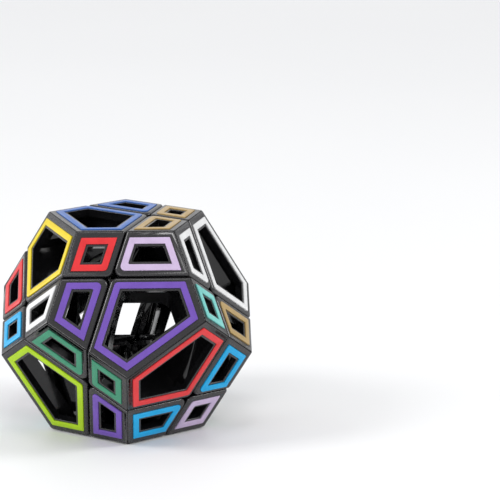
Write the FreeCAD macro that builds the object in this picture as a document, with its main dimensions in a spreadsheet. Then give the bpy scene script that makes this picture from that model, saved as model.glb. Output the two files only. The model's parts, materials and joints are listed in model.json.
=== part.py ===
"""Hollow dodecahedron twisty puzzle: fourteen moulded pieces held by circular dovetail tracks, with 48 tiles.

Four cut planes through the centre divide the solid into six edge pieces and eight corner pieces. There is no core:
on each cut plane the pieces of one side carry a ring-shaped rail and the pieces of the other side a matching groove,
so the halves stay together and turn on that ring. Every piece is a shell: face plates with a window and a tile's
recess each, walls along the cuts, and in an edge piece a short partition between its two large windows. Three
master pieces (a railed corner, a grooved corner and an edge piece) are built once, in a cube-aligned working
frame, and every real piece is a turned copy of one of them.
"""
import FreeCAD
import Part
import itertools
import math
import os
from FreeCAD import Matrix, Placement, Rotation, Vector

GOLDEN = (1 + math.sqrt(5)) / 2
# the cosine of the angle between the normals of two neighbouring faces
NEIGHBOUR_COSINE = 1 / math.sqrt(5)
TOLERANCE = 1e-6
# how near to the outer surface a point of the curved solid counts as lying on it (mm)
SURFACE_TOLERANCE = 1e-4
# lies along no face normal, so it has a part in every face plane
SLANTED = Vector(0.3, 0.5, 0.8)

# ---------------------------------------------------------------- driving dimensions (mm)
DIMENSIONS = [
    ("edge_length", 30.0, "edge of the dodecahedron"),
    ("inradius_ratio", 1.113516364, "distance of a face from the centre, per edge length"),
    ("joint_gap", 0.3, "gap between neighbouring pieces across a cut"),
    ("plate_thickness", 2.4, "face plate of a piece"),
    ("wall_thickness", 1.6, "wall of a piece along a cut"),
    ("partition_depth", 8.7, "how far an edge piece's partition reaches in from the dodecahedron's edge"),
    ("hollow_inradius", 17.2, "open space in the middle, as a smaller dodecahedron"),
    ("track_radius", 25.0, "middle of the circular track"),
    ("track_height", 1.6, "how far the rail stands past the cut plane"),
    ("neck_half_width", 1.1, "half width of the rail where it crosses the cut plane"),
    ("track_flare", 0.6, "how much wider the rail is at its top, each side"),
    ("track_clearance", 0.2, "running clearance round the rail"),
    ("rail_root", 0.45, "how deep the rail is rooted below the cut plane"),
    ("rail_end_setback", 2.6, "distance of a rail's end from the neighbouring cut"),
    ("boss_half_width", 2.7, "half width of the thick band behind the groove"),
    ("boss_height", 3.2, "top of the thick band, from the cut plane"),
    ("boss_overlap", 0.4, "how far the thick band's ends reach into the neighbouring walls"),
    ("corner_rounding", 2.2, "rounding of the edge where two walls meet"),
    ("rim_rounding", 0.9, "rounding of the outer edges"),
    ("midradius_ratio", 1.309016994, "distance of a dodecahedron edge from the centre, per edge length"),
    ("seam_width", 0.25, "fine seam where two face plates of a piece meet"),
    ("seam_depth", 1.0, "depth of that seam, from the dodecahedron's edge"),
    ("cut_border", 1.6, "border between a cut and a tile"),
    ("rim_border", 2.0, "border between a dodecahedron edge and a tile"),
    ("tile_width", 2.1, "width of a tile's band"),
    ("lip_width", 0.7, "frame lip between a tile and the window"),
    ("tile_depth", 0.8, "depth of a tile's recess"),
    ("tile_rise", 0.3, "how far a tile stands above its face"),
    ("tile_clearance", 0.05, "gap round a tile in its recess"),
    ("tile_corner_rounding", 1.4, "rounding of a tile's outline where two cuts cross"),
    ("window_corner_rounding", 0.4, "rounding of a window's outline where two cuts cross"),
    ("cutter_margin", 1.0, "how far a cutter reaches past the surface that it cuts"),
    ("block_size", 130.0, "working block that stands for a half space"),
]

doc = FreeCAD.newDocument("dodecahedron_puzzle")
sheet = doc.addObject("Spreadsheet::Sheet", "Params")
for row, (alias, value, note) in enumerate(DIMENSIONS, start=1):
    sheet.set(f"A{row}", note)
    sheet.set(f"B{row}", str(value))
    sheet.setAlias(f"B{row}", alias)
doc.recompute()


def size(alias):
    return float(sheet.get(alias))


INRADIUS = size("inradius_ratio") * size("edge_length")
HALF_GAP = size("joint_gap") / 2

# ---------------------------------------------------------------- cube-aligned working frame
CUTS = {
    "A": Vector(1, 1, 1).normalize(),
    "B": Vector(1, -1, -1).normalize(),
    "C": Vector(-1, 1, -1).normalize(),
    "D": Vector(-1, -1, 1).normalize(),
}
FACES = {
    "top": Vector(0, GOLDEN, -1),
    "upper_front": Vector(GOLDEN, 1, 0),
    "upper_right": Vector(1, 0, -GOLDEN),
    "upper_left": Vector(0, GOLDEN, 1),
    "upper_back_right": Vector(-1, 0, -GOLDEN),
    "upper_back_left": Vector(-GOLDEN, 1, 0),
    "lower_front_right": Vector(GOLDEN, -1, 0),
    "lower_front_left": Vector(1, 0, GOLDEN),
    "lower_right": Vector(0, -GOLDEN, -1),
    "lower_left": Vector(-1, 0, GOLDEN),
    "lower_back": Vector(-GOLDEN, -1, 0),
    "bottom": Vector(0, -GOLDEN, 1),
}
for normal in FACES.values():
    normal.normalize()

# each piece lies above the cut planes that its letters name, and below the others
PIECES = {
    "edge_front": "AB",
    "edge_back": "CD",
    "edge_top": "AC",
    "edge_bottom": "BD",
    "edge_left": "AD",
    "edge_right": "BC",
    "corner_front_left": "A",
    "corner_right": "B",
    "corner_top_back": "C",
    "corner_bottom_back": "D",
    "corner_back_right": "BCD",
    "corner_left_back": "ACD",
    "corner_bottom_front": "ABD",
    "corner_top_front": "ABC",
}
MASTERS = {"RailCorner": "A", "GrooveCorner": "BCD", "Edge": "AB"}
# edge pieces whose two small tiles share one node
JOINED_SMALL_TILES = ("edge_back", "edge_bottom")


def are_neighbours(normal, other):
    return abs(normal.dot(other) - NEIGHBOUR_COSINE) < TOLERANCE


def side(cell, cut):
    """+1 if the cell lies above the cut plane, -1 if below."""
    return 1 if cut in cell else -1


def direction(cell):
    """The middle direction of a cell, which is a cube corner or a cube axis."""
    total = Vector(0, 0, 0)
    for cut, axis in CUTS.items():
        total += axis * side(cell, cut)
    return total.normalize()


def walls(cell):
    """The cuts that bound a cell: crossing one of them gives another real cell."""
    found = []
    for cut in CUTS:
        other = set(cell) ^ {cut}
        if 0 < len(other) < len(CUTS):
            found.append(cut)
    return found


# ---------------------------------------------------------------- half spaces and dodecahedra
def block(name, normal, base, height):
    """A block on a plane: base and height are expressions, measured along normal from the centre."""
    box = doc.addObject("Part::Box", name)
    turn = Rotation(Vector(0, 0, 1), normal)
    start = turn.multVec(Vector(-0.5, -0.5, 0))
    box.Placement = Placement(start, turn)
    box.setExpression("Length", "Params.block_size")
    box.setExpression("Width", "Params.block_size")
    box.setExpression("Height", height)
    for axis in "xyz":
        across = getattr(start, axis)
        along = getattr(normal, axis)
        box.setExpression(
            f"Placement.Base.{axis}",
            f"Params.block_size * ({across:.12f}) + ({base}) * ({along:.12f})",
        )
    return box


def common(name, shapes):
    made = doc.addObject("Part::MultiCommon", name)
    made.Shapes = shapes
    return made


def fuse(name, shapes):
    made = doc.addObject("Part::MultiFuse", name)
    made.Shapes = shapes
    return made


def cut(name, base, tool):
    made = doc.addObject("Part::Cut", name)
    made.Base = base
    made.Tool = tool
    return made


def dodecahedron(name, inradius):
    """Six slabs that are each as thick as two inradii meet in a regular dodecahedron."""
    slabs = []
    for index, face in enumerate(list(FACES)[:6]):
        base = f"-({inradius})"
        slabs.append(block(f"{name}Slab{index}", FACES[face], base, f"2 * ({inradius})"))
    return common(name, slabs)


def cell_blocks(name, cell, cuts, offset):
    """The half spaces of a cell, each pulled back from its cut plane by the expression offset."""
    return [block(f"{name}{c}", CUTS[c] * side(cell, c), offset, "Params.block_size") for c in cuts]


def edge_plate(name, face, other, width, depth):
    """A plate on the middle plane of a dodecahedron edge, from depth below that edge to far outside."""
    outward = (FACES[face] + FACES[other]).normalize()
    across = (FACES[face] - FACES[other]).normalize()
    along = across.cross(outward)
    turn = Rotation(along, across, outward, "ZXY")
    start = turn.multVec(Vector(-0.5, 0, 0))
    plate = doc.addObject("Part::Box", name)
    plate.Placement = Placement(start, turn)
    plate.setExpression("Length", "Params.block_size")
    plate.setExpression("Width", width)
    plate.setExpression("Height", "Params.block_size")
    floor = f"Params.midradius_ratio * Params.edge_length - {depth}"
    for axis in "xyz":
        sideways = getattr(start, axis)
        outwards = getattr(outward, axis)
        off_middle = getattr(across, axis)
        plate.setExpression(
            f"Placement.Base.{axis}",
            f"Params.block_size * ({sideways:.12f}) + ({floor}) * ({outwards:.12f})"
            f" - {width} / 2 * ({off_middle:.12f})",
        )
    return plate


def seam_plate(name, face, other):
    """The thin plate that cuts the seam between two face plates, ending at the edge's two corners."""
    pair = (FACES[face], FACES[other])
    parts = [edge_plate(f"{name}Sheet", face, other, "Params.seam_width", "Params.seam_depth")]
    for end, third in FACES.items():
        if all(are_neighbours(third, normal) for normal in pair):
            inward = (pair[0] + pair[1] - third * 2).normalize()
            parts.append(block(f"{name}End{end}", inward, "0", "Params.block_size"))
    return common(name, parts)


# ---------------------------------------------------------------- circular tracks
def cone(name, axis, base, height, low_radius, high_radius):
    made = doc.addObject("Part::Cone", name)
    made.Placement = Placement(Vector(0, 0, 0), Rotation(Vector(0, 0, 1), axis))
    made.setExpression("Radius1", low_radius)
    made.setExpression("Radius2", high_radius)
    made.setExpression("Height", height)
    for letter in "xyz":
        along = getattr(axis, letter)
        made.setExpression(f"Placement.Base.{letter}", f"({base}) * ({along:.12f})")
    return made


def ring(name, axis, base, top, low_half_width, high_half_width):
    """A ring about axis on the track radius, between two heights, with its own half widths there."""
    height = f"({top}) - ({base})"
    outer = cone(
        f"{name}Outer", axis, base, height,
        f"Params.track_radius + {low_half_width}", f"Params.track_radius + {high_half_width}",
    )
    inner = cone(
        f"{name}Inner", axis, base, height,
        f"Params.track_radius - ({low_half_width})", f"Params.track_radius - ({high_half_width})",
    )
    return cut(name, outer, inner)


SLOPE = "Params.track_flare / Params.track_height"


def rail_ring(name, axis):
    root = f"(Params.neck_half_width - Params.rail_root * {SLOPE})"
    tip = "(Params.neck_half_width + Params.track_flare)"
    return ring(name, axis, "-Params.rail_root", "Params.track_height", root, tip)


def groove_ring(name, axis):
    top = "(Params.track_height + Params.track_clearance)"
    low = "(Params.neck_half_width + Params.track_clearance)"
    high = f"(Params.neck_half_width + Params.track_clearance + {top} * {SLOPE})"
    return ring(name, axis, "0", top, low, high)


def boss_ring(name, axis):
    width = "Params.boss_half_width"
    return ring(name, axis, "Params.joint_gap / 2", "Params.boss_height", width, width)


# ---------------------------------------------------------------- outlines on a face
def in_plane(vector, normal):
    return vector - normal * vector.dot(normal)


def limit_lines(cell, face, cut_inset, rim_inset):
    """The straight limits of a cell's region on a face, as (inward direction, least distance, is a cut)."""
    normal = FACES[face]
    lines = []
    for c in walls(cell):
        axis = CUTS[c] * side(cell, c)
        flat = in_plane(axis, normal)
        least = (HALF_GAP - axis.dot(normal) * INRADIUS) / flat.Length + cut_inset
        lines.append((flat.normalize(), least, True))
    for other in FACES.values():
        if are_neighbours(normal, other):
            flat = in_plane(other, normal)
            most = INRADIUS * (1 - other.dot(normal)) / flat.Length - rim_inset
            lines.append((flat.normalize() * -1, -most, False))
    return lines


def clipped(points, inward, least, is_cut):
    """A convex outline cut by one line. Each point carries the kinds of the two lines that meet there."""
    kept = []
    for index, (point, kinds) in enumerate(points):
        nxt, next_kinds = points[(index + 1) % len(points)]
        here = point.dot(inward) - least
        there = nxt.dot(inward) - least
        if here >= 0:
            kept.append((point, kinds))
        if here * there < 0:
            crossing = point + (nxt - point) * (here / (here - there))
            shared = kinds[1]
            kept.append((crossing, (shared, is_cut) if here > 0 else (is_cut, shared)))
    return kept


def region(cell, face, cut_inset, rim_inset):
    """Corner points of a cell's region on a face, in order, each with whether two cuts meet there."""
    normal = FACES[face]
    first = in_plane(SLANTED, normal).normalize() * size("block_size")
    second = normal.cross(first)
    points = [(v, (False, False)) for v in (first, second, first * -1, second * -1)]
    for line in limit_lines(cell, face, cut_inset, rim_inset):
        points = clipped(points, *line)
    return [(point + normal * INRADIUS, all(kinds)) for point, kinds in points]


def rounded_face(points, radius):
    """A flat face on an outline whose corner between two cuts is an arc."""
    edges = []
    starts = []
    for index, (point, is_crossing) in enumerate(points):
        if not is_crossing or radius <= 0:
            starts.append((point, point, None))
            continue
        back = (points[index - 1][0] - point).normalize()
        ahead = (points[(index + 1) % len(points)][0] - point).normalize()
        half_angle = back.getAngle(ahead) / 2
        run = radius / math.tan(half_angle)
        middle = (back + ahead).normalize() * (radius / math.sin(half_angle) - radius)
        starts.append((point + back * run, point + ahead * run, point + middle))
    for index, (enter, leave, middle) in enumerate(starts):
        if middle is not None:
            edges.append(Part.Arc(enter, middle, leave).toShape())
        following = starts[(index + 1) % len(starts)][0]
        edges.append(Part.LineSegment(leave, following).toShape())
    return Part.Face(Part.Wire(edges))


def band(cell, face, inset, radius, low, high):
    """A solid on a region's outline, pulled in by inset past its border, between two heights above the face."""
    normal = FACES[face]
    outline = region(cell, face, size("cut_border") + inset, size("rim_border") + inset)
    flat = rounded_face(outline, radius)
    flat.translate(normal * low)
    return flat.extrude(normal * (high - low))


def tile_shape(cell, face):
    gap = size("tile_clearance")
    inner = size("tile_width") - gap
    depth = size("tile_depth")
    rise = size("tile_rise")
    outside = band(cell, face, gap, size("tile_corner_rounding") - gap, -depth, rise)
    inside = band(cell, face, inner, size("window_corner_rounding") + gap, -depth, rise)
    return outside.cut(inside)


def recess_shapes(cell, face):
    """The cutters of one region: the tile's recess and the window."""
    above = size("cutter_margin")
    width = size("tile_width")
    depth = size("tile_depth")
    below = size("plate_thickness") + size("cutter_margin")
    outside = band(cell, face, 0, size("tile_corner_rounding"), -depth, above)
    inside = band(cell, face, width, size("window_corner_rounding"), -depth, above)
    window = band(cell, face, width + size("lip_width"), size("window_corner_rounding"), -below, above)
    return [outside.cut(inside), window]


def faces_of(cell):
    """The faces on which a cell has a region, nearest first."""
    middle = direction(cell)
    near = sorted(FACES, key=lambda face: -FACES[face].dot(middle))
    return near[:3] if len(cell) != 2 else near[:4]


# ---------------------------------------------------------------- master pieces
def on_outer_surface(point):
    return abs(max(point.dot(n) for n in FACES.values()) - INRADIUS) < SURFACE_TOLERANCE


def rounded(name, base, radius, wanted):
    """A Part::Fillet on the edges whose first, middle and last points pass the test wanted."""
    doc.recompute()
    chosen = []
    for index, edge in enumerate(base.Shape.Edges, start=1):
        middle = edge.valueAt((edge.FirstParameter + edge.LastParameter) / 2)
        if wanted([v.Point for v in edge.Vertexes], middle):
            chosen.append((index, radius, radius))
    made = doc.addObject("Part::Fillet", name)
    made.Base = base
    made.Edges = chosen
    return made


def is_wall_edge(ends, middle):
    """An edge between two walls runs from the open middle to the outer surface."""
    return [on_outer_surface(p) for p in ends].count(True) == 1


def is_rim_edge(ends, middle):
    return on_outer_surface(middle)


def build_master(name, cell, outer, inner, hollow):
    """One piece: a hollow block behind its face plates, with rails or a thick grooved band on its walls."""
    bounds = walls(cell)
    body = common(f"{name}Block", [outer] + cell_blocks(f"{name}Half", cell, bounds, "Params.joint_gap / 2"))
    body = cut(f"{name}Open", body, hollow)
    body = rounded(f"{name}WallEdges", body, size("corner_rounding"), is_wall_edge)
    body = rounded(f"{name}Rims", body, size("rim_rounding"), is_rim_edge)
    seams = []
    for index, (face, other) in enumerate(itertools.combinations(faces_of(cell), 2)):
        if are_neighbours(FACES[face], FACES[other]):
            seams.append(seam_plate(f"{name}SeamPlate{index}", face, other))
    body = cut(f"{name}Seamed", body, fuse(f"{name}Seams", seams))
    depth = "Params.joint_gap / 2 + Params.wall_thickness"
    cavity = common(f"{name}Cavity", [inner] + cell_blocks(f"{name}Inner", cell, bounds, depth))
    if len(cell) == 2:
        big, other = faces_of(cell)[:2]
        partition = edge_plate(f"{name}Partition", big, other, "Params.wall_thickness", "Params.partition_depth")
        cavity = cut(f"{name}HalvedCavity", cavity, partition)
    body = cut(f"{name}Shell", body, cavity)
    grooved = [c for c in bounds if side(cell, c) > 0]
    railed = [c for c in bounds if side(cell, c) < 0]
    added = [body]
    for c in grooved:
        others = [w for w in bounds if w != c]
        limits = cell_blocks(f"{name}Boss{c}Limit", cell, others, depth + " - Params.boss_overlap")
        added.append(common(f"{name}Boss{c}", [boss_ring(f"{name}BossRing{c}", CUTS[c])] + limits))
    for c in railed:
        others = [w for w in bounds if w != c]
        limits = cell_blocks(f"{name}Rail{c}Limit", cell, others, "Params.rail_end_setback")
        added.append(common(f"{name}Rail{c}", [rail_ring(f"{name}RailRing{c}", CUTS[c])] + limits))
    body = fuse(f"{name}Walls", added)
    for c in grooved:
        body = cut(f"{name}Groove{c}", body, groove_ring(f"{name}GrooveRing{c}", CUTS[c]))
    cutters = []
    for face in faces_of(cell):
        cutters += recess_shapes(cell, face)
    windows = doc.addObject("Part::Feature", f"{name}Windows")
    windows.Shape = Part.makeCompound(cutters)
    master = cut(f"{name}Master", body, windows)
    doc.recompute()
    return master


# ---------------------------------------------------------------- turned copies
def tetrahedral_turns():
    """The twelve rotations that carry the four cut planes onto each other."""
    found = [Rotation()]
    steps = [Rotation(CUTS["A"], 120), Rotation(Vector(1, 0, 0), 180)]
    for turn in found:
        for step in steps:
            new = step.multiply(turn)
            if not any(new.isSame(old, TOLERANCE) for old in found):
                found.append(new)
    return found


TURNS = tetrahedral_turns()


def standing_frame():
    """The turn that sets the puzzle down on its bottom face, with the upper front face towards -Y."""
    up = FACES["top"]
    front = in_plane(FACES["upper_front"], up).normalize()
    back = front * -1
    right = back.cross(up)
    matrix = Matrix(
        right.x, right.y, right.z, 0,
        back.x, back.y, back.z, 0,
        up.x, up.y, up.z, 0,
        0, 0, 0, 1,
    )
    return Placement(matrix)


STANDING = standing_frame()


def turn_to(start, end, start_face=None, end_face=None):
    """The turn that carries one cell, and one of its faces if given, onto another."""
    for turn in TURNS:
        if (turn.multVec(direction(start)) - direction(end)).Length > TOLERANCE:
            continue
        if start_face and (turn.multVec(FACES[start_face]) - FACES[end_face]).Length > TOLERANCE:
            continue
        return turn
    return None


def place_copy(label, masters_and_turns):
    made = doc.addObject("Part::Compound", label)
    made.Label = label
    links = []
    for index, (master, turn) in enumerate(masters_and_turns):
        if len(masters_and_turns) == 1:
            links.append(master)
            made.Placement = STANDING.multiply(Placement(Vector(0, 0, 0), turn))
        else:
            part = doc.addObject("Part::Compound", f"{label}_{index}")
            part.Links = [master]
            part.Placement = Placement(Vector(0, 0, 0), turn)
            links.append(part)
            made.Placement = STANDING
    made.Links = links
    return made


def build():
    outer = dodecahedron("Outer", "Params.inradius_ratio * Params.edge_length")
    inner = dodecahedron("Inner", "Params.inradius_ratio * Params.edge_length - Params.plate_thickness")
    hollow = dodecahedron("Hollow", "Params.hollow_inradius")
    doc.recompute()
    masters = {}
    tiles = {}
    for name, cell in MASTERS.items():
        masters[name] = build_master(name, cell, outer, inner, hollow)
        for kind, face in tile_kinds(cell):
            tile = doc.addObject("Part::Feature", f"{name}{kind}Tile")
            tile.Shape = tile_shape(cell, face)
            tiles[name, kind] = (tile, face)
    subparts = []
    for piece, cell in PIECES.items():
        name = {1: "RailCorner", 2: "Edge", 3: "GrooveCorner"}[len(cell)]
        start = MASTERS[name]
        subparts.append(place_copy(piece, [(masters[name], turn_to(start, cell))]))
        small = []
        for face in faces_of(cell):
            for kind, _ in tile_kinds(start):
                tile, start_face = tiles[name, kind]
                turn = turn_to(start, cell, start_face, face)
                if turn is None:
                    continue
                if kind == "Small" and piece in JOINED_SMALL_TILES:
                    small.append((tile, turn))
                else:
                    subparts.append(place_copy(f"{piece}_tile_{face}", [(tile, turn)]))
        if small:
            subparts.append(place_copy(f"{piece}_small_tiles", small))
    doc.recompute()
    return subparts


def tile_kinds(cell):
    """The kinds of tile on a cell, each with the face of its master tile."""
    faces = faces_of(cell)
    if len(cell) == 2:
        return [("Big", faces[0]), ("Small", faces[2])]
    return [("Side", faces[0])]


def check_and_write(subparts):
    for item in doc.Objects:
        if "Invalid" in item.State or "Error" in item.State:
            raise RuntimeError(f"{item.Name} did not recompute: {item.State}")
    os.makedirs("parts", exist_ok=True)
    for item in subparts:
        if item.Shape.isNull() or not item.Shape.isValid():
            raise RuntimeError(f"{item.Label} has no valid shape")
        item.Shape.exportStep(f"parts/{item.Label}.step")
        print(item.Label, len(item.Shape.Solids), round(item.Shape.Volume, 1))


check_and_write(build())
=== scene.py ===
"""Looks of the hollow dodecahedron twisty puzzle.

The mouldings are satin charcoal plastic outside and polished inside, where their colour is darkened as
painted shade, with raised tiles in twelve colours round their windows. Soft boxes light them, so that
their rounded rims and seams catch fine highlights.
"""
import json
import math

import bmesh
import bpy
from mathutils import Matrix, Vector


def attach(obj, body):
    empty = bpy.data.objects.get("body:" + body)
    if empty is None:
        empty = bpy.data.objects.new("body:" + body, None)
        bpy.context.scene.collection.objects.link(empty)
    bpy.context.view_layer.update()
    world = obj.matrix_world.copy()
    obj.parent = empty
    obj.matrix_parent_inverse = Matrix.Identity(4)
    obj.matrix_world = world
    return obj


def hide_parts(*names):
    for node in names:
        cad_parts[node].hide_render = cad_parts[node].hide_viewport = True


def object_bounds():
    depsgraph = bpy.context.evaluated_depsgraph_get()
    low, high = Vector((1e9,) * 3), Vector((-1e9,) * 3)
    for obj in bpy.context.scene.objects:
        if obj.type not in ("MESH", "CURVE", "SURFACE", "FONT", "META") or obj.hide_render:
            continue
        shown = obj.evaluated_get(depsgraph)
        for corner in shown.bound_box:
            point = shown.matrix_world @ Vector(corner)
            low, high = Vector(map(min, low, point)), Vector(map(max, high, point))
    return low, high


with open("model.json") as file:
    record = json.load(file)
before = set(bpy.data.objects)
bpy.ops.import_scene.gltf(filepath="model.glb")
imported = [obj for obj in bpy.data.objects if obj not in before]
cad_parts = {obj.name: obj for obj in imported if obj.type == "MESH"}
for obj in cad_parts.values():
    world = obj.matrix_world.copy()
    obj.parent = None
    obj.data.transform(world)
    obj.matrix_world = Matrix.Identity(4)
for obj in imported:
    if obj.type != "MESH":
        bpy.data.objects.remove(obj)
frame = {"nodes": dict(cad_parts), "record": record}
cad_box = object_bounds()
scene = bpy.context.scene

# ---------------------------------------------------------------- sizes
MM = 0.001
TILE_RISE = 0.3 * MM
# the puzzle stands on a raised tile, and another is on top, so its height is two inradii and two rises
INRADIUS = (cad_box[1].z - cad_box[0].z) / 2 - TILE_RISE

BEVEL_SEGMENTS = 3
TILE_BEVEL = 0.13 * MM
RIM_BEVEL = 0.18 * MM
SEAM_BEVEL = 0.1 * MM
# the rim of a seam lies less than this below the outer surface, and between two faces whose planes it is
# nearly equally far from
SEAM_RIM_DEPTH = 0.15 * MM
SEAM_RIM_REACH = 0.3 * MM
SATIN_DEPTH = 0.95 * MM  # the textured finish covers the face plates and the rounding of their rims

TOUCHING = 0.01 * MM  # nearer than this to a surface counts as on it
SAME_POINT = 0.0005 * MM  # nearer points are merged
SAME_PLANE = math.radians(0.5)  # neighbouring faces at a smaller angle are joined
RIM_ANGLE = math.radians(25)  # least angle of the rims that are softened on a moulding
TILE_EDGE_ANGLE = math.radians(40)  # the same on a tile
SHADING_ANGLE = math.radians(32)  # shading is smooth across edges flatter than this
FLOOR_HALF_WIDTH = 4.0

# ---------------------------------------------------------------- the puzzle's faces
RING_TILT = math.atan(2)  # angle between neighbouring faces' normals
FACE_AZIMUTHS = {
    "upper_front": 0,
    "upper_right": 72,
    "upper_back_right": 144,
    "upper_back_left": -144,
    "upper_left": -72,
    "lower_front_right": 36,
    "lower_right": 108,
    "lower_back": 180,
    "lower_left": -108,
    "lower_front_left": -36,
}


def face_normals():
    """Outward normals of the twelve faces. Azimuth 0 is -Y, and it grows towards +X."""
    normals = {"top": Vector((0, 0, 1)), "bottom": Vector((0, 0, -1))}
    for name, azimuth in FACE_AZIMUTHS.items():
        turn = math.radians(azimuth)
        height = math.cos(RING_TILT) * (1 if name.startswith("upper") else -1)
        out = math.sin(RING_TILT)
        normals[name] = Vector((out * math.sin(turn), -out * math.cos(turn), height))
    return normals


NORMALS = face_normals()

# colours of the small tiles that share a CAD node, by the face that each lies on
JOINED_TILES = {
    "edge_back_small_tiles": {"lower_left": "blue", "upper_back_right": "lime"},
    "edge_bottom_small_tiles": {"lower_front_right": "lilac", "lower_back": "white"},
}


# ---------------------------------------------------------------- node helpers
def new_material(name):
    """An empty node material and its tree."""
    material = bpy.data.materials.new(name)
    material.use_nodes = True
    tree = material.node_tree
    tree.nodes.clear()
    return material, tree


def add_node(tree, kind, **values):
    """A node with the values of its inputs and its own settings, by name."""
    node = tree.nodes.new(kind)
    for key, value in values.items():
        if key in node.inputs:
            node.inputs[key].default_value = value
        else:
            setattr(node, key, value)
    return node


def object_place(tree):
    """The place of each point of the surface, in metres."""
    return tree.nodes.new("ShaderNodeTexCoord").outputs["Object"]


def noise(tree, place, scale, detail=2.0, roughness=0.5):
    """A noise value over the surface; scale is in features per metre."""
    node = add_node(tree, "ShaderNodeTexNoise", Scale=scale, Detail=detail, Roughness=roughness)
    tree.links.new(place, node.inputs["Vector"])
    return node.outputs["Fac"]


def remap(tree, value, low, high, from_low=0.3, from_high=0.7):
    """A noise value stretched so that it runs from low to high."""
    node = add_node(tree, "ShaderNodeMapRange")
    node.inputs["From Min"].default_value = from_low
    node.inputs["From Max"].default_value = from_high
    node.inputs["To Min"].default_value = low
    node.inputs["To Max"].default_value = high
    tree.links.new(value, node.inputs["Value"])
    return node.outputs["Result"]


def colour_mix(tree, **values):
    """A node that mixes two colours: itself, its two colour inputs and its colour output."""
    node = add_node(tree, "ShaderNodeMix", data_type="RGBA", **values)
    first, second = [s for s in node.inputs if s.type == "RGBA"]
    result = next(s for s in node.outputs if s.type == "RGBA")
    return node, first, second, result


def mixed_colour(tree, factor, low, high):
    """A colour between two, low where the factor is 0 and high where it is 1."""
    node, first, second, result = colour_mix(tree)
    first.default_value = (*low, 1)
    second.default_value = (*high, 1)
    tree.links.new(factor, node.inputs["Factor"])
    return result


def added_colour(tree, one, other):
    """The sum of two colours."""
    _, first, second, result = colour_mix(tree, blend_type="ADD", Factor=1.0)
    tree.links.new(one, first)
    tree.links.new(other, second)
    return result


def surface(tree, colour, roughness, height, bump_depth, **constants):
    """The Principled shader of a material, with its bump and its output."""
    shader = tree.nodes.new("ShaderNodeBsdfPrincipled")
    for key, value in constants.items():
        shader.inputs[key.replace("_", " ")].default_value = value
    tree.links.new(colour, shader.inputs["Base Color"])
    tree.links.new(roughness, shader.inputs["Roughness"])
    bump = add_node(tree, "ShaderNodeBump", Strength=1.0, Distance=bump_depth)
    tree.links.new(height, bump.inputs["Height"])
    tree.links.new(bump.outputs["Normal"], shader.inputs["Normal"])
    output = tree.nodes.new("ShaderNodeOutputMaterial")
    tree.links.new(shader.outputs["BSDF"], output.inputs["Surface"])


# ---------------------------------------------------------------- materials
# the darkest and the lightest shade of each, as linear colour
SATIN_SHADES = ((0.0125, 0.0115, 0.0128), (0.0185, 0.0172, 0.0190))
# the inside is the same plastic as the outside, its tones darker as painted shade
INSIDE_PAINTED_SHADE_TONES = ((0.0040, 0.0040, 0.0046), (0.0070, 0.0069, 0.0078))
FLOOR_SHADES = ((0.92, 0.92, 0.922), (0.94, 0.94, 0.942))

BLACK = (0, 0, 0)
DUST = (0.08, 0.078, 0.082)  # added where it lies


def satin_plastic():
    """The outside of the mouldings: a fine grain, a slightly uneven shade, scuffs and pale dust."""
    material, tree = new_material("satin_charcoal_plastic")
    place = object_place(tree)
    cloud = noise(tree, place, scale=140, detail=3)
    grain = noise(tree, place, scale=5200)
    speck = noise(tree, place, scale=1700, detail=4, roughness=0.65)
    plastic = mixed_colour(tree, remap(tree, cloud, 0, 1), *SATIN_SHADES)
    dust_cover = remap(tree, speck, 0, 0.4, from_low=0.60, from_high=0.78)
    dust = mixed_colour(tree, dust_cover, BLACK, DUST)
    roughness = remap(tree, speck, 0.22, 0.33)
    surface(tree, added_colour(tree, plastic, dust), roughness, grain, 0.004 * MM, IOR=1.62)
    return material


def gloss_plastic_with_painted_shade():
    """The inside of the mouldings: the same plastic, polished and with fine flow marks, its colour
    darkened as painted shade.
    """
    material, tree = new_material("gloss_charcoal_plastic_painted_shade")
    place = object_place(tree)
    cloud = noise(tree, place, scale=180, detail=3)
    flow = noise(tree, place, scale=420, detail=4, roughness=0.6)
    colour = mixed_colour(tree, remap(tree, cloud, 0, 1), *INSIDE_PAINTED_SHADE_TONES)
    surface(tree, colour, remap(tree, flow, 0.10, 0.18), flow, 0.02 * MM, IOR=1.5)
    return material


def tile_plastic(name, colour):
    """Glossy coloured plastic with a faint ripple."""
    material, tree = new_material(f"tile_{name}")
    place = object_place(tree)
    cloud = noise(tree, place, scale=220)
    ripple = noise(tree, place, scale=1500)
    darker = tuple(c * 0.93 for c in colour)
    lighter = tuple(min(1.0, c * 1.05 + 0.004) for c in colour)
    shade = mixed_colour(tree, remap(tree, cloud, 0, 1), darker, lighter)
    surface(tree, shade, remap(tree, ripple, 0.30, 0.40), ripple, 0.008 * MM, IOR=1.4)
    return material


def floor_material():
    """Pale matt card."""
    material, tree = new_material("pale_floor")
    cloud = noise(tree, object_place(tree), scale=3)
    colour = mixed_colour(tree, remap(tree, cloud, 0, 1), *FLOOR_SHADES)
    surface(tree, colour, remap(tree, cloud, 0.55, 0.6), cloud, 0.01 * MM)
    return material


def linear(level):
    """A display level from 0 to 255 as linear light."""
    share = level / 255
    return share / 12.92 if share <= 0.04045 else ((share + 0.055) / 1.055) ** 2.4


# display levels
TILE_COLOURS = {
    "purple": (110, 78, 172),
    "red": (220, 48, 52),
    "lilac": (200, 180, 212),
    "gold": (176, 148, 94),
    "yellow": (228, 202, 4),
    "blue": (62, 106, 180),
    "cyan": (0, 166, 224),
    "green": (56, 138, 106),
    "lime": (170, 208, 8),
    "turquoise": (118, 204, 197),
    "magenta": (205, 60, 120),
    "white": (229, 229, 229),
}
SATIN = satin_plastic()
INSIDE_GLOSS_AND_PAINTED_SHADE = gloss_plastic_with_painted_shade()
TILE_MATERIALS = {}
for tile_colour, levels in TILE_COLOURS.items():
    TILE_MATERIALS[tile_colour] = tile_plastic(tile_colour, [linear(v) for v in levels])


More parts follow.
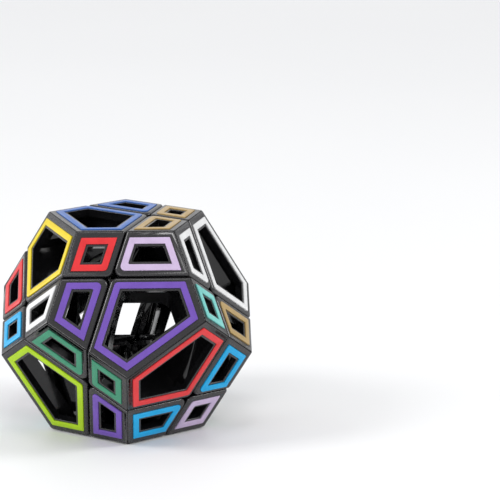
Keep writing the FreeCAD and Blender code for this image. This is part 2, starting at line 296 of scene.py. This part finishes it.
# ---------------------------------------------------------------- meshes
def cleaned_copy(node):
    """The CAD node's mesh as a new bmesh, with split vertices merged and flat areas joined."""
    shape = bmesh.new()
    shape.from_mesh(frame["nodes"][node].data)
    bmesh.ops.remove_doubles(shape, verts=shape.verts, dist=SAME_POINT)
    bmesh.ops.dissolve_limit(shape, angle_limit=SAME_PLANE, verts=shape.verts, edges=shape.edges)
    bmesh.ops.recalc_face_normals(shape, faces=shape.faces)
    return shape


def convex_edges(shape, least_angle, wanted):
    """Sharp outward edges whose two ends pass the test wanted."""
    found = []
    for edge in shape.edges:
        if len(edge.link_faces) != 2 or not edge.is_convex:
            continue
        if edge.calc_face_angle(0) > least_angle and all(wanted(v.co) for v in edge.verts):
            found.append(edge)
    return found


def soften(shape, edges, width):
    """Round some edges to the given width."""
    bmesh.ops.bevel(
        shape,
        geom=edges,
        offset=width,
        offset_type="OFFSET",
        segments=BEVEL_SEGMENTS,
        profile=0.5,
        affect="EDGES",
        clamp_overlap=True,
    )


def add_piece(name, shape, materials, body, replaced):
    """A new visible piece from a bmesh, riding on a CAD body and standing for a CAD node."""
    mesh = bpy.data.meshes.new(name)
    shape.to_mesh(mesh)
    shape.free()
    for material in materials:
        mesh.materials.append(material)
    mesh.shade_smooth()
    mesh.set_sharp_from_angle(angle=SHADING_ANGLE)
    piece = bpy.data.objects.new(name, mesh)
    scene.collection.objects.link(piece)
    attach(piece, body)
    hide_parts(replaced)


def islands(shape):
    """The separate solids of a bmesh, each as a list of faces."""
    left = set(shape.faces)
    for start in shape.faces:
        if start not in left:
            continue
        left.discard(start)
        found = [start]
        for face in found:  # the list grows while it is read
            for edge in face.edges:
                for other in edge.link_faces:
                    if other in left:
                        left.discard(other)
                        found.append(other)
        yield found


def nearest_face(points):
    """The puzzle's face that lies most directly outside the middle of some points."""
    middle = sum(points, Vector()) / len(points)
    return max(NORMALS, key=lambda face: NORMALS[face].dot(middle))


def add_tile(shape, face, colour, body, node):
    """A raised tile whose upper edges are rounded."""
    normal = NORMALS[face]
    top = max(v.co.dot(normal) for v in shape.verts)
    edges = convex_edges(shape, TILE_EDGE_ANGLE, lambda point: point.dot(normal) > top - TOUCHING)
    soften(shape, edges, TILE_BEVEL)
    add_piece(f"{body}_{face}_{colour}_tile", shape, [TILE_MATERIALS[colour]], body, node)


def split_tiles(node, body):
    """The separate tiles of a node that holds two, each in its own colour."""
    whole = cleaned_copy(node)
    for faces in islands(whole):
        face = nearest_face([f.calc_center_median() for f in faces])
        kept = {f.index for f in faces}
        part = whole.copy()
        others = [f for f in part.faces if f.index not in kept]
        bmesh.ops.delete(part, geom=others, context="FACES")
        add_tile(part, face, JOINED_TILES[node][face], body, node)
    whole.free()


def build_tiles():
    """All 48 tiles, each a piece of its own colour."""
    slots = {s["node"]: s["material_slot"] for s in frame["record"]["subparts"]}
    for body, nodes in frame["record"]["behaviour"]["bodies"].items():
        for node in nodes:
            if node in JOINED_TILES:
                split_tiles(node, body)
            elif "_tile_" in node:
                face = node.split("_tile_")[1]
                add_tile(cleaned_copy(node), face, slots[node].removeprefix("tile_"), body, node)


def depth(point):
    """How far a point lies below the puzzle's outer surface."""
    return INRADIUS - max(point.dot(n) for n in NORMALS.values())


def on_outer_surface(point):
    """True on the faces of the dodecahedron."""
    return abs(depth(point)) < TOUCHING


def beside_seam(point):
    """True at the rim of a seam, which runs along an edge of the dodecahedron between two of its faces."""
    heights = sorted(point.dot(n) for n in NORMALS.values())
    return INRADIUS - heights[-1] < SEAM_RIM_DEPTH and heights[-1] - heights[-2] < SEAM_RIM_REACH


def build_mouldings():
    """Each of the fourteen mouldings, with the edges of its windows, recesses and seams softened."""
    for body in frame["record"]["behaviour"]["bodies"]:
        shape = cleaned_copy(body)
        soften(shape, convex_edges(shape, RIM_ANGLE, beside_seam), SEAM_BEVEL)
        soften(shape, convex_edges(shape, RIM_ANGLE, on_outer_surface), RIM_BEVEL)
        # faces deeper than the satin finish get the inside plastic, whose darker colour is painted shade
        for face in shape.faces:
            face.material_index = 0 if depth(face.calc_center_median()) < SATIN_DEPTH else 1
        add_piece(f"{body}_moulding", shape, [SATIN, INSIDE_GLOSS_AND_PAINTED_SHADE], body, body)


# ---------------------------------------------------------------- stage, camera and lights
def add_floor():
    """The plane that the puzzle stands on."""
    reach = FLOOR_HALF_WIDTH
    corners = [(-reach, -reach), (reach, -reach), (reach, reach), (-reach, reach)]
    mesh = bpy.data.meshes.new("floor")
    mesh.from_pydata([(x, y, cad_box[0].z) for x, y in corners], [], [(0, 1, 2, 3)])
    mesh.materials.append(floor_material())
    floor = bpy.data.objects.new("floor", mesh)
    scene.collection.objects.link(floor)


# the camera stands this far back, in metres, and its middle line passes right of the puzzle's centre and
# above it
CAMERA_AZIMUTH = math.radians(-2.414)
CAMERA_ELEVATION = math.radians(13.506)
CAMERA_DISTANCE = 0.90321
CAMERA_ASIDE = 0.03902
CAMERA_ABOVE = 0.02187
CAMERA_LENS = 205.5  # focal length in millimetres
CAMERA_NEAREST = 0.01


def add_camera():
    """The camera, square to the line that it looks along."""
    level = math.cos(CAMERA_ELEVATION)
    back = Vector((
        math.sin(CAMERA_AZIMUTH) * level,
        -math.cos(CAMERA_AZIMUTH) * level,
        math.sin(CAMERA_ELEVATION),
    ))
    right = Vector((math.cos(CAMERA_AZIMUTH), math.sin(CAMERA_AZIMUTH), 0))
    up = back.cross(right)
    camera = bpy.data.objects.new("camera", bpy.data.cameras.new("camera"))
    camera.data.lens = CAMERA_LENS
    camera.data.clip_start = CAMERA_NEAREST
    turn = Matrix((right, up, back)).transposed().to_4x4()
    place = right * CAMERA_ASIDE + up * CAMERA_ABOVE + back * CAMERA_DISTANCE
    camera.matrix_world = Matrix.Translation(place) @ turn
    scene.collection.objects.link(camera)
    scene.camera = camera


WORLD_COLOUR = (0.97, 0.98, 1.0, 1)
WORLD_STRENGTH = 0.60
# each soft box: its place, width and height in metres, and its power in watts
SOFTBOXES = {
    "left_light": ((-0.85, -0.24, 0.72), 0.34, 0.38, 4.6),
    "right_light": ((0.92, -0.12, 0.64), 0.35, 0.35, 4.4),
    "top_light": ((0.0, -0.35, 1.10), 0.30, 0.30, 1.4),
    "back_light": ((0.0, 1.30, 0.42), 1.8, 0.6, 2.2),
    "left_strip": ((-0.95, 0.45, 0.10), 0.50, 0.20, 1.8),
    "front_strip": ((-0.42, -1.05, 0.24), 0.50, 0.14, 1.8),
}


def add_softbox(name, place, width, height, power):
    """A soft rectangular light that faces the puzzle."""
    light = bpy.data.lights.new(name, "AREA")
    light.shape = "RECTANGLE"
    light.size = width
    light.size_y = height
    light.energy = power
    box = bpy.data.objects.new(name, light)
    box.location = place
    box.rotation_euler = Vector(place).to_track_quat("Z", "Y").to_euler()
    box.visible_camera = False
    scene.collection.objects.link(box)


def add_lights():
    """A pale even surrounding and the soft boxes."""
    world = bpy.data.worlds.new("studio")
    world.use_nodes = True
    background = world.node_tree.nodes["Background"]
    background.inputs["Color"].default_value = WORLD_COLOUR
    background.inputs["Strength"].default_value = WORLD_STRENGTH
    scene.world = world
    for name, (place, width, height, power) in SOFTBOXES.items():
        add_softbox(name, place, width, height, power)


build_mouldings()
build_tiles()
add_floor()
add_camera()
add_lights()
scene.view_settings.view_transform = "Standard"
